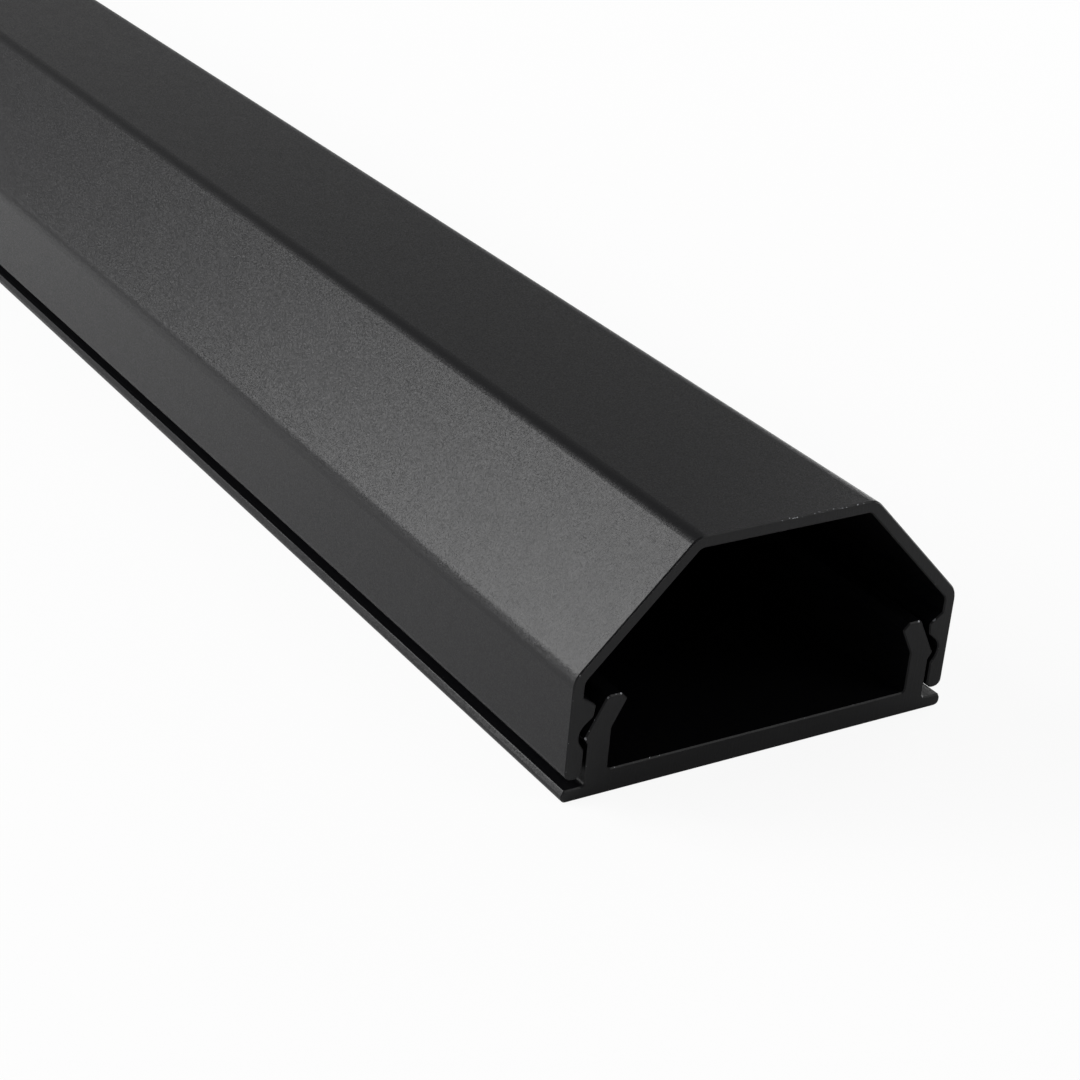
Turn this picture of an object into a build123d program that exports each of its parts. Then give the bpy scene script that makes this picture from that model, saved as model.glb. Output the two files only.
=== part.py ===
from build123d import *

import math
import os

# A two-piece aluminium cable cover. A flat base plate is fixed to the wall, and
# a cover with a flat top, two slopes and two upright sides snaps over it.
# Both pieces are extrusions, so each one is a section drawn in the YZ plane and
# drawn out along X. X runs along the length, Y across, Z up from the wall.
# The origin is the middle of the underside. All sizes are in millimetres.

# Overall sizes
length = 500.0
overall_width = 33.0
overall_height = 18.3

# Cover: the outer shape
side_recess = 0.15  # how far each side stands in from the base plate's edge
top_width = 15.1
side_height = 9.5  # from the wall up to the corner between side and slope
wall = 0.95
top_corner_radius = 1.6
side_corner_radius = 1.7

# Cover: the snap along the inside of each side, a lip, a groove and a nose
lip_thickness = 1.36
lip_gap = 0.68  # open slot between the lip and the base plate's flange
lip_top_height = 3.85
lip_bottom_radius = 0.62
lip_top_radius = 0.3
groove_height = 5.15
groove_corner_wall = 0.5  # wall behind the point where the groove's flanks would meet
groove_radius = 1.1
nose_thickness = 2.02
nose_set_back = 0.12  # how far the nose's lower corner lies behind its upper one
nose_low_height = 6.3
nose_high_height = 7.18
nose_root_height = 7.93
nose_radius = 0.3
nose_root_radius = 0.15

# Base: the plate and its flanges
floor_thickness = 1.87
flange_thickness = 0.97
flange_edge_slant = 0.2
flange_edge_height = 0.6
flange_bottom_radius = 0.45
flange_edge_radius = 0.12

# Base: the two legs, upright below the ridge and leaning inwards above it
leg_thickness = 1.8
slant_thickness = 1.7
leg_lean = 28.0  # degrees from upright
leg_height = 7.66
shoulder_height = 0.52
leg_root_radius = 0.3
shoulder_radius = 0.3
ridge_radius = 0.15
knee_radius = 0.6
tip_bevel = 0.54
tip_inner_radius = 0.12
tip_outer_radius = 0.35

# How the cover fits on the base
leg_clearance = 0.29  # lip to the leg's upright face
nose_clearance = 0.22  # nose corner to the leg's leaning face
snap_overlap = 0.05  # how far the ridge reaches over the lip

# Cut ends: the sharp edge is broken by a small chamfer
edge_break = 0.1

# Places that both pieces share
half_width = overall_width / 2
cover_half = half_width - side_recess
lip_inner = cover_half - lip_thickness
nose_inner = cover_half - nose_thickness
ridge_outer = lip_inner + snap_overlap


def extruded_section(right_half):
    """Mirror the corners of the right half and draw the section out along X.

    Each corner is (y, z, radius), in order round the outline.
    """
    left_half = [(-y, z, radius) for y, z, radius in reversed(right_half)]
    corners = right_half + left_half
    points = [(y, z) for y, z, radius in corners]
    radii = [radius for y, z, radius in corners]
    with BuildPart() as piece:
        with BuildSketch(Plane.YZ):
            with BuildLine():
                FilletPolyline(*points, radius=radii, close=True)
            make_face()
        extrude(amount=length / 2, both=True)
        cut_faces = piece.faces().filter_by(Axis.X)
        chamfer(cut_faces.edges(), edge_break)
    return piece.part


def cover_section():
    """Corners of the cover's right half, from the top down the outside and back up the inside."""
    slope_rise = overall_height - side_height
    slope_run = cover_half - top_width / 2
    slope = math.atan2(slope_rise, slope_run)
    # A wall of even thickness moves each inner corner along by the thickness
    # times the tangent of half the turn.
    top_shift = wall * math.tan(slope / 2)
    side_shift = wall * math.tan((math.pi / 2 - slope) / 2)
    lip_bottom = flange_thickness + lip_gap
    return [
        (top_width / 2, overall_height, top_corner_radius),
        (cover_half, side_height, side_corner_radius),
        (cover_half, lip_bottom, lip_bottom_radius),
        (lip_inner, lip_bottom, lip_bottom_radius),
        (lip_inner, lip_top_height, lip_top_radius),
        (cover_half - groove_corner_wall, groove_height, groove_radius),
        (nose_inner + nose_set_back, nose_low_height, nose_radius),
        (nose_inner, nose_high_height, nose_radius),
        (cover_half - wall, nose_root_height, nose_root_radius),
        (cover_half - wall, side_height - side_shift, max(side_corner_radius - wall, 0)),
        (top_width / 2 - top_shift, overall_height - wall, max(top_corner_radius - wall, 0)),
    ]


def base_section():
    """Corners of the base's right half, from the floor over the leg to the underside."""
    lean = math.radians(leg_lean)
    leg_outer = lip_inner - leg_clearance
    leg_inner = leg_outer - leg_thickness
    # The leaning face passes the nose's lower corner at the stated clearance,
    # and the ridge is where that face comes down to the ridge's reach.
    corner_y = nose_inner + nose_set_back
    reach = nose_clearance + (ridge_outer - corner_y) * math.cos(lean)
    ridge_height = nose_low_height - reach / math.sin(lean)
    # The inner leaning face runs parallel, one slant thickness away.
    across = (ridge_outer - leg_inner) * math.cos(lean) - slant_thickness
    knee_height = ridge_height + across / math.sin(lean)
    tip_low = leg_height - tip_bevel
    tip_inner = leg_inner - (tip_low - knee_height) * math.tan(lean)
    tip_outer = ridge_outer - (leg_height - ridge_height) * math.tan(lean)
    return [
        (leg_inner, floor_thickness, leg_root_radius),
        (leg_inner, knee_height, knee_radius),
        (tip_inner, tip_low, tip_inner_radius),
        (tip_inner + tip_bevel, leg_height, tip_inner_radius),
        (tip_outer, leg_height, tip_outer_radius),
        (ridge_outer, ridge_height, ridge_radius),
        (leg_outer, ridge_height - shoulder_height, shoulder_radius),
        (leg_outer, flange_thickness, leg_root_radius),
        (half_width - flange_edge_slant, flange_thickness, flange_edge_radius),
        (half_width, flange_edge_height, flange_edge_radius),
        (half_width, 0, flange_bottom_radius),
    ]


def main():
    os.makedirs("parts", exist_ok=True)
    export_step(extruded_section(cover_section()), "parts/cover.step")
    export_step(extruded_section(base_section()), "parts/base.step")


main()
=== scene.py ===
# %% [markdown]
# A two-piece aluminium cable cover, seen at one cut end.
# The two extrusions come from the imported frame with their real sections, so this
# lesson is about what they are made to look like: blasted and black anodised
# aluminium, sawn ends, and edges where a little bare metal shows.

import math

import bpy
import bmesh
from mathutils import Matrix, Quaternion, Vector


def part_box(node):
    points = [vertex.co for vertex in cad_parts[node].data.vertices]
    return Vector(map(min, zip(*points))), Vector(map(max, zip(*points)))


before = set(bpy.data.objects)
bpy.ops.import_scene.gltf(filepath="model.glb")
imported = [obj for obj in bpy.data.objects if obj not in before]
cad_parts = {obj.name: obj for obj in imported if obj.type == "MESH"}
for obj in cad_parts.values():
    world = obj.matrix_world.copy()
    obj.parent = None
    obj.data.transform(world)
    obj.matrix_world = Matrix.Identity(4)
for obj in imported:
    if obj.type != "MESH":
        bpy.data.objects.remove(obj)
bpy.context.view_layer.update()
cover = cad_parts["cover"]
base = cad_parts["base"]
MM = 0.001
print("pieces from the frame:", sorted(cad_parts))

# %% [markdown]
# Every place below is worked out from the frame. The length runs along X, and
# both ends are cut square, so half the length tells a material where the saw
# went through. The near end is the one that the photograph shows.

# %% Sizes read from the frame
cover_low, cover_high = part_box("cover")
base_low, base_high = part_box("base")
half_length = cover_high.x
height = cover_high.z
near_end = Vector((half_length, 0, 0))
print("length", round(2 * half_length / MM, 2), "mm")
print("section", round(2 * base_high.y / MM, 2), "by", round(height / MM, 2), "mm")
print("the cover starts", round((cover_low.z - base_low.z) / MM, 2), "mm above the wall")

# %% [markdown]
# One function adds a node, sets its properties and fills its inputs. An input
# takes a number, a colour or another node's output. Colours are written as the
# hex values that a screen shows, and Cycles works in linear light, so one
# function turns the first into the second.


# %% Helpers for materials
def add_node(tree, kind, inputs=None, **settings):
    """Add a node, set its properties, then give its inputs values or links."""
    node = tree.nodes.new(kind)
    for name, value in settings.items():
        setattr(node, name, value)
    for key, value in (inputs or {}).items():
        if isinstance(value, bpy.types.NodeSocket):
            tree.links.new(value, node.inputs[key])
        else:
            node.inputs[key].default_value = value
    return node


def linear(hex_colour):
    """Turn an sRGB hex colour into linear light with full alpha."""
    channels = [int(hex_colour[i:i + 2], 16) / 255 for i in (1, 3, 5)]
    light = [c / 12.92 if c <= 0.04045 else ((c + 0.055) / 1.055) ** 2.4 for c in channels]
    return (*light, 1.0)


def new_material(name):
    """An empty node material and its output node."""
    material = bpy.data.materials.new(name)
    material.use_nodes = True
    material.node_tree.nodes.clear()
    output = add_node(material.node_tree, "ShaderNodeOutputMaterial")
    return material, output


print("a screen's middle grey in linear light:", round(linear("#808080")[0], 3))

# %% [markdown]
# Black anodised aluminium starts as a blasted surface, so it is covered in tiny
# dimples, and the anodising turns them into a hard, dyed, glassy film. The film
# is what we see: nearly black, with a weak and broad reflection that grows
# towards grazing angles. So the shader is a dark, rough dielectric and not a
# metal. Its specular level is half of the usual one, because the dimples
# swallow part of what a smooth film would mirror.
#
# Three kinds of surface share the shader, and a point's place tells them apart.
# Outside, the blast left dimples a little under a tenth of a millimetre wide.
# Inside, where no blast reaches, the lines of the extrusion die stay along the
# length. On the cut ends the saw left fine marks. Object coordinates place all
# three, because they have a real size and don't stretch along the length.

# %% Places on the section
EDGE_BREAK_MM = 0.1
END_DEPTH_MM = 0.004
# Each of these limits runs inside the cover's wall, between its two faces.
INNER_HALF_WIDTH_MM = 16.0
INNER_SLOPE_SUM_MM = 25.3
INNER_HEIGHT_MM = 17.9


def compare(tree, value, limit, operation="GREATER_THAN"):
    """One where value is over (or under) the limit, and zero elsewhere."""
    return add_node(tree, "ShaderNodeMath", {0: value, 1: limit}, operation=operation).outputs[0]


def both(tree, first, second):
    """One where both masks are one."""
    return add_node(tree, "ShaderNodeMath", {0: first, 1: second}, operation="MULTIPLY").outputs[0]


def section_masks(tree, place):
    """Masks for the cut ends, their broken edges and the inside, with the place across and up."""
    x, y, z = add_node(tree, "ShaderNodeSeparateXYZ", {0: place}).outputs
    along = add_node(tree, "ShaderNodeMath", {0: x}, operation="ABSOLUTE").outputs[0]
    across = add_node(tree, "ShaderNodeMath", {0: y}, operation="ABSOLUTE").outputs[0]
    end = compare(tree, along, half_length - END_DEPTH_MM * MM)
    end_or_edge = compare(tree, along, half_length - EDGE_BREAK_MM * MM)
    edge = add_node(tree, "ShaderNodeMath", {0: end_or_edge, 1: end}, operation="SUBTRACT").outputs[0]
    slope_sum = add_node(tree, "ShaderNodeMath", {0: across, 1: z}, operation="ADD").outputs[0]
    inside = both(tree, compare(tree, across, INNER_HALF_WIDTH_MM * MM, "LESS_THAN"),
                  compare(tree, slope_sum, INNER_SLOPE_SUM_MM * MM, "LESS_THAN"))
    inside = both(tree, inside, compare(tree, z, INNER_HEIGHT_MM * MM, "LESS_THAN"))
    return {"end": end, "edge": edge, "inside": inside, "y": y, "z": z}


print("the broken edge of a cut end is", EDGE_BREAK_MM, "mm wide")

# %% [markdown]
# After sawing, the thin broken edge round a cut end was knocked here and there,
# and bare aluminium glints through the film. The photograph shows the larger
# chips one by one, so each is a small ball round its place, and the mask is on
# where the surface passes through a ball. One fine noise breaks up their
# outlines and scatters tiny specks along the broken edges of both ends, most of
# them on the top.

# %% Bare chips on the near end
# A chip is its place across, its place up, and the radius of its ball.
CHIPS_MM = {
    "cover": [(14.65, 7.50, 0.18)],
    "base": [(-13.45, 7.50, 0.08), (-12.35, 7.66, 0.14), (-15.0, 4.70, 0.13), (14.97, 4.70, 0.15),
             (13.22, 7.62, 0.09), (14.85, 0.98, 0.06)],
}
CHIP_WOBBLE_MM = 0.12
SPECK_MM = 0.17
SPECK_THRESHOLD = 0.75
TOP_SPECK_THRESHOLD = 0.68
TOP_SPECK_RANGE_MM = (-1.2, 6.6)
TOP_SPECK_DEPTH_MM = 0.2


def bare_metal(tree, place, grain, masks, chips):
    """A mask for the chips and specks of bare aluminium at the cut ends."""
    wobble = add_node(tree, "ShaderNodeMath",
                      {0: grain, 1: CHIP_WOBBLE_MM * MM, 2: -CHIP_WOBBLE_MM / 2 * MM},
                      operation="MULTIPLY_ADD").outputs[0]
    specks = compare(tree, grain, SPECK_THRESHOLD)
    first, last = TOP_SPECK_RANGE_MM
    between = both(tree, compare(tree, masks["y"], first * MM),
                   compare(tree, masks["y"], last * MM, "LESS_THAN"))
    on_top = both(tree, compare(tree, masks["z"], height - TOP_SPECK_DEPTH_MM * MM), between)
    top_specks = both(tree, on_top, compare(tree, grain, TOP_SPECK_THRESHOLD))
    found = add_node(tree, "ShaderNodeMath", {0: specks, 1: top_specks},
                     operation="MAXIMUM").outputs[0]
    found = both(tree, found, masks["edge"])
    for y_mm, z_mm, radius_mm in chips:
        centre = (half_length - EDGE_BREAK_MM / 2 * MM, y_mm * MM, z_mm * MM)
        away = add_node(tree, "ShaderNodeVectorMath", {0: place, 1: centre},
                        operation="DISTANCE").outputs["Value"]
        reach = add_node(tree, "ShaderNodeMath", {0: away, 1: wobble}, operation="ADD").outputs[0]
        chip = both(tree, compare(tree, reach, radius_mm * MM, "LESS_THAN"), masks["edge"])
        found = add_node(tree, "ShaderNodeMath", {0: found, 1: chip},
                         operation="MAXIMUM").outputs[0]
    return found


print("larger chips:", {piece: len(places) for piece, places in CHIPS_MM.items()})

# %% [markdown]
# Each dimple of the blast faces its own way, so every Voronoi cell gets a small
# random tilt of its own. A bump from smooth noise would be shorter to write, but
# it draws leathery wrinkles instead of sand. The grain shows most on the slope
# that mirrors the soft box, and hardly at all on the evenly lit top. The cells
# are drawn at the coarse end of what real dimples may be, because finer ones
# wouldn't show at this distance.

# %% Grain of the blast
DIMPLE_MM = 0.075
DIMPLE_TILT = 0.10
MIDDLE_OF_A_CELL_COLOUR = (0.5, 0.5, 0.5)


def dimple_cells(tree, place):
    """A random colour for each dimple."""
    return add_node(tree, "ShaderNodeTexVoronoi",
                    {"Vector": place, "Scale": 1 / (DIMPLE_MM * MM)}).outputs["Color"]


def tilted_normal(tree, cells, masks):
    """The surface's normal, tilted dimple by dimple, except inside and on the cut ends."""
    blasted = add_node(tree, "ShaderNodeMath", {0: 1.0, 1: masks["inside"]},
                       operation="SUBTRACT").outputs[0]
    blasted = add_node(tree, "ShaderNodeMath", {0: blasted, 1: masks["end"]},
                       operation="SUBTRACT", use_clamp=True).outputs[0]
    lean = add_node(tree, "ShaderNodeVectorMath", {0: cells, 1: MIDDLE_OF_A_CELL_COLOUR},
                    operation="SUBTRACT").outputs[0]
    amount = add_node(tree, "ShaderNodeMath", {0: blasted, 1: DIMPLE_TILT},
                      operation="MULTIPLY").outputs[0]
    lean = add_node(tree, "ShaderNodeVectorMath", {0: lean, "Scale": amount},
                    operation="SCALE").outputs[0]
    upright = add_node(tree, "ShaderNodeNewGeometry").outputs["Normal"]
    tilted = add_node(tree, "ShaderNodeVectorMath", {0: upright, 1: lean}, operation="ADD").outputs[0]
    return add_node(tree, "ShaderNodeVectorMath", {0: tilted}, operation="NORMALIZE").outputs[0]


print("dimples", DIMPLE_MM, "mm wide")

# %% [markdown]
# Die lines and saw marks have a direction, so they are a bump from a noise that
# is squashed one way, which draws it out long. The die's lines run along the
# length. The saw's marks run up the end, about twelve times as long as wide. The
# mapping node squashes before it turns, so the turn leaves those marks upright
# and only moves them off the noise's own grid.

# %% Die lines and saw marks
DIE_LINE_MM = 0.35
DIE_LINE_SQUASH = (0.002, 1, 1)
SAW_MARK_MM = 0.16
SAW_MARK_SQUASH = (1, 1, 0.08)
SAW_NOISE_TURN = (math.radians(24), 0, 0)
SAW_NOISE_ROUGHNESS = 0.6
MARK_DETAIL = 2.0
MARK_DEPTH_MM = 0.010


def noise(tree, place, size_mm, detail, roughness=0.5):
    """Noise whose features are about size_mm wide."""
    return add_node(tree, "ShaderNodeTexNoise",
                    {"Vector": place, "Scale": 1 / (size_mm * MM), "Detail": detail,
                     "Roughness": roughness}).outputs["Fac"]


def marked_normal(tree, place, masks, normal):
    """The normal, bent by die lines inside and by saw marks on the cut ends."""
    die_place = add_node(tree, "ShaderNodeMapping",
                         {"Vector": place, "Scale": DIE_LINE_SQUASH}).outputs["Vector"]
    saw_place = add_node(tree, "ShaderNodeMapping",
                         {"Vector": place, "Rotation": SAW_NOISE_TURN,
                          "Scale": SAW_MARK_SQUASH}).outputs["Vector"]
    die_lines = both(tree, noise(tree, die_place, DIE_LINE_MM, MARK_DETAIL), masks["inside"])
    saw_marks = noise(tree, saw_place, SAW_MARK_MM, MARK_DETAIL, SAW_NOISE_ROUGHNESS)
    marks = add_node(tree, "ShaderNodeMix",
                     {"Factor": masks["end"], "A": die_lines, "B": saw_marks},
                     data_type="FLOAT").outputs["Result"]
    return add_node(tree, "ShaderNodeBump",
                    {"Height": marks, "Distance": MARK_DEPTH_MM * MM, "Strength": 1.0,
                     "Normal": normal}).outputs["Normal"]


print("die lines", DIE_LINE_MM, "mm and saw marks", SAW_MARK_MM, "mm wide")

# %% [markdown]
# Now the shader itself. The film is a little lighter and rougher in one dimple
# than in the next, and its roughness also drifts over a millimetre or two. It
# stays between 0.28 and 0.39, which keeps the sheen uneven but not blotchy. The
# same shader turns metallic where a chip has broken through the film.

# %% Black anodised aluminium
FILM_DARK = "#08080A"
FILM_LIGHT = "#101012"
BARE_METAL = "#7C7D80"
FILM_IOR = 1.5
FILM_SPECULAR = 0.25
ROUGH_LEAST = 0.280
ROUGH_BY_DIMPLE = 0.06
ROUGH_BY_MOTTLE = 0.05
MOTTLE_MM = 1.6
MOTTLE_DETAIL = 2.0
SPECK_DETAIL = 1.0


def anodised_black(name, chips, shift):
    """Blasted, black anodised aluminium with sawn ends and a few bare chips."""
    material, output = new_material(name)
    tree = material.node_tree
    place = add_node(tree, "ShaderNodeTexCoord").outputs["Object"]
    masks = section_masks(tree, place)
    moved = add_node(tree, "ShaderNodeVectorMath", {0: place, 1: shift}, operation="ADD").outputs[0]
    cells = dimple_cells(tree, moved)
    tone = add_node(tree, "ShaderNodeSeparateColor", {0: cells}).outputs[0]
    mottle = noise(tree, moved, MOTTLE_MM, MOTTLE_DETAIL)
    bare = bare_metal(tree, place, noise(tree, moved, SPECK_MM, SPECK_DETAIL), masks, chips)
    film = add_node(tree, "ShaderNodeMix",
                    {"Factor": tone, "A": linear(FILM_DARK), "B": linear(FILM_LIGHT)},
                    data_type="RGBA").outputs["Result"]
    colour = add_node(tree, "ShaderNodeMix",
                      {"Factor": bare, "A": film, "B": linear(BARE_METAL)},
                      data_type="RGBA").outputs["Result"]
    uneven = add_node(tree, "ShaderNodeMath", {0: tone, 1: ROUGH_BY_DIMPLE, 2: ROUGH_LEAST},
                      operation="MULTIPLY_ADD").outputs[0]
    rough = add_node(tree, "ShaderNodeMath", {0: mottle, 1: ROUGH_BY_MOTTLE, 2: uneven},
                     operation="MULTIPLY_ADD").outputs[0]
    normal = marked_normal(tree, moved, masks, tilted_normal(tree, cells, masks))
    shader = add_node(tree, "ShaderNodeBsdfPrincipled",
                      {"Base Color": colour, "Metallic": bare, "Roughness": rough, "Normal": normal,
                       "IOR": FILM_IOR, "Specular IOR Level": FILM_SPECULAR})
    tree.links.new(shader.outputs[0], output.inputs["Surface"])
    print(name, "has", len(tree.nodes), "nodes")
    return material


# %% [markdown]
# Both pieces keep their CAD meshes, and only the material in their slot changes.
# They were blasted and dyed alike, so they share one recipe. The base's pattern
# is moved, so that the marks on one piece don't run on into the other.

# %% Dress the two pieces
PATTERN_SHIFT = {"cover": (0.0, 0.0, 0.0), "base": (0.31, 0.17, 0.23)}


def dress(piece, material):
    """Give a piece one material in its object's slot."""
    if not piece.material_slots:
        piece.data.materials.append(None)
    piece.material_slots[0].link = "OBJECT"
    piece.material_slots[0].material = material


dress(cover, anodised_black("black_anodised_cover", CHIPS_MM["cover"], PATTERN_SHIFT["cover"]))
dress(base, anodised_black("black_anodised_base", CHIPS_MM["base"], PATTERN_SHIFT["base"]))
print("cover slots:", len(cover.material_slots), "base slots:", len(base.material_slots))

# %% [markdown]
# The floor is a wide matt white sheet. It lies a fiftieth of a millimetre under
# the base, so that the two faces don't fight over the same place.

# %% Floor
FLOOR_REACH = 30.0
FLOOR_GAP = 0.02 * MM

floor_mesh = bpy.data.meshes.new("floor")
sheet = bmesh.new()
bmesh.ops.create_grid(sheet, x_segments=1, y_segments=1, size=FLOOR_REACH)
bmesh.ops.translate(sheet, verts=sheet.verts, vec=(0, 0, -FLOOR_GAP))
sheet.to_mesh(floor_mesh)
sheet.free()
floor = bpy.data.objects.new("floor", floor_mesh)
bpy.context.scene.collection.objects.link(floor)
print("the floor reaches", FLOOR_REACH, "m each way")

# %% [markdown]
# The photograph's background is pure white, so most of what the camera sees of
# the floor is an even white of strength 1, and the rest is the lit sheet, which
# keeps the object's shadow. The object's own gloss sees more of the lit sheet,
# so the shadow in front of the cut end darkens the end's foot, as it does in the
# photograph.

# %% White of the floor
FLOOR_WHITE = "#F4F4F4"
WHITE_FOR_CAMERA = 0.92
WHITE_FOR_GLOSS = 0.12

floor_white, output = new_material("matt_white_floor")
tree = floor_white.node_tree
rays = add_node(tree, "ShaderNodeLightPath").outputs
gloss = add_node(tree, "ShaderNodeMath",
                 {0: rays["Is Glossy Ray"], 1: rays["Is Transmission Ray"]}, operation="MAXIMUM")
gloss = add_node(tree, "ShaderNodeMath", {0: gloss.outputs[0], 1: WHITE_FOR_GLOSS},
                 operation="MULTIPLY")
share = add_node(tree, "ShaderNodeMath",
                 {0: rays["Is Camera Ray"], 1: WHITE_FOR_CAMERA, 2: gloss.outputs[0]},
                 operation="MULTIPLY_ADD")
matt = add_node(tree, "ShaderNodeBsdfDiffuse", {"Color": linear(FLOOR_WHITE)})
even = add_node(tree, "ShaderNodeEmission", {"Color": (1, 1, 1, 1), "Strength": 1.0})
mixed = add_node(tree, "ShaderNodeMixShader",
                 {0: share.outputs[0], 1: matt.outputs[0], 2: even.outputs[0]})
tree.links.new(mixed.outputs[0], output.inputs["Surface"])
floor.data.materials.append(floor_white)
print("the camera sees", WHITE_FOR_CAMERA, "of even white on the floor")

# %% [markdown]
# The light is that of a small studio. Its grey surround is brighter low down,
# where white paper stands behind the floor. The brightness falls smoothly with
# the height above the horizon, so no line of it shows in the metal.

# %% Surround
SURROUND_GREY = 0.25
PAPER_WHITE = 0.5
PAPER_TOP = math.radians(20)

world = bpy.data.worlds.new("studio_surround")
bpy.context.scene.world = world
world.use_nodes = True
tree = world.node_tree
tree.nodes.clear()
direction = add_node(tree, "ShaderNodeTexCoord").outputs["Generated"]
rise = add_node(tree, "ShaderNodeSeparateXYZ", {0: direction}).outputs["Z"]
elevation = add_node(tree, "ShaderNodeMath", {0: rise}, operation="ARCSINE").outputs[0]
grey = add_node(tree, "ShaderNodeMapRange",
                {"Value": elevation, "From Min": 0.0, "From Max": PAPER_TOP,
                 "To Min": PAPER_WHITE, "To Max": SURROUND_GREY},
                interpolation_type="SMOOTHSTEP").outputs["Result"]
background = add_node(tree, "ShaderNodeBackground", {"Color": (1, 1, 1, 1), "Strength": grey})
add_node(tree, "ShaderNodeOutputWorld", {"Surface": background.outputs[0]})
print("surround nodes:", len(tree.nodes))

# %% [markdown]
# A soft box hangs behind and to the left, where the slope's near end mirrors it
# towards the camera. Further along, the slope mirrors past the edge of the box,
# so it fades. A lower box behind on the right brightens the far edge of the flat
# top. Between the two the rounded corner mirrors only the grey surround, and
# that draws the dark line along it. A third box stands low on the left. It
# lights the floor that the upright side mirrors, and it shows in the corner
# between slope and side, which would be too dark without it. A dim one in front
# on the right shows in the broken edge between the top and the cut end.
#
# What counts in a reflection is how bright a box's face looks. So a box is given
# that brightness, and its power follows from the brightness and the size.

# %% Soft boxes
# A box is its place from the near end, its width and its height, all in metres,
# and its brightness.
SOFTBOXES = {
    "slope_softbox": ((-0.491, -0.469, 0.413), 0.367, 0.301, 10.2),
    "right_softbox": ((-0.217, 0.512, 0.14), 0.33, 0.33, 4.4),
    "left_softbox": ((-0.289, -0.644, 0.203), 0.4, 0.4, 7.1),
    "front_softbox": ((0.32, 0.37, 0.50), 0.25, 0.25, 2.2),
}


def softbox(name, place, aim, width, tall, radiance):
    """A soft lamp of an even brightness, at a place, facing an aim point."""
    lamp = bpy.data.lights.new(name, "AREA")
    lamp.shape = "RECTANGLE"
    lamp.size = width
    lamp.size_y = tall
    lamp.energy = radiance * math.pi * width * tall
    holder = bpy.data.objects.new(name, lamp)
    holder.location = place
    holder.rotation_mode = "QUATERNION"
    holder.rotation_quaternion = (aim - place).to_track_quat("-Z", "Y")
    holder.visible_camera = False
    bpy.context.scene.collection.objects.link(holder)
    print(name, "power", round(lamp.energy, 2), "W")


for name, (offset, width, tall, radiance) in SOFTBOXES.items():
    softbox(name, near_end + Vector(offset), near_end, width, tall, radiance)

# %% [markdown]
# The camera stands where the photograph was taken from. Its place and aim were
# worked out from the end face, whose real size is known, and from the long
# edges. The numbers are millimetres from the middle of the near end's lower
# edge, and the camera was tilted a few degrees to one side.

# %% Camera
CAMERA_PLACE_MM = Vector((116.2, -98.4, 88.9))
CAMERA_AIM_MM = Vector((-14.9, -10.0, 11.7))
CAMERA_ROLL = math.radians(5.13)
CAMERA_LENS_MM = 82.99
CAMERA_SENSOR_MM = 36.0
# The camera sees nothing nearer or further than these two, in metres.
NEAREST_SEEN = 0.01
FURTHEST_SEEN = 100.0

camera = bpy.data.objects.new("camera", bpy.data.cameras.new("camera"))
camera.data.lens = CAMERA_LENS_MM
camera.data.sensor_width = CAMERA_SENSOR_MM
camera.data.clip_start = NEAREST_SEEN
camera.data.clip_end = FURTHEST_SEEN
camera.location = near_end + CAMERA_PLACE_MM * MM
sight = (CAMERA_AIM_MM - CAMERA_PLACE_MM).to_track_quat("-Z", "Y")
camera.rotation_mode = "QUATERNION"
camera.rotation_quaternion = sight @ Quaternion((0, 0, 1), CAMERA_ROLL)
bpy.context.scene.collection.objects.link(camera)
bpy.context.scene.camera = camera
bpy.context.scene.view_settings.view_transform = "Standard"
print("the camera is", round(CAMERA_PLACE_MM.length, 1), "mm from the near end's foot")
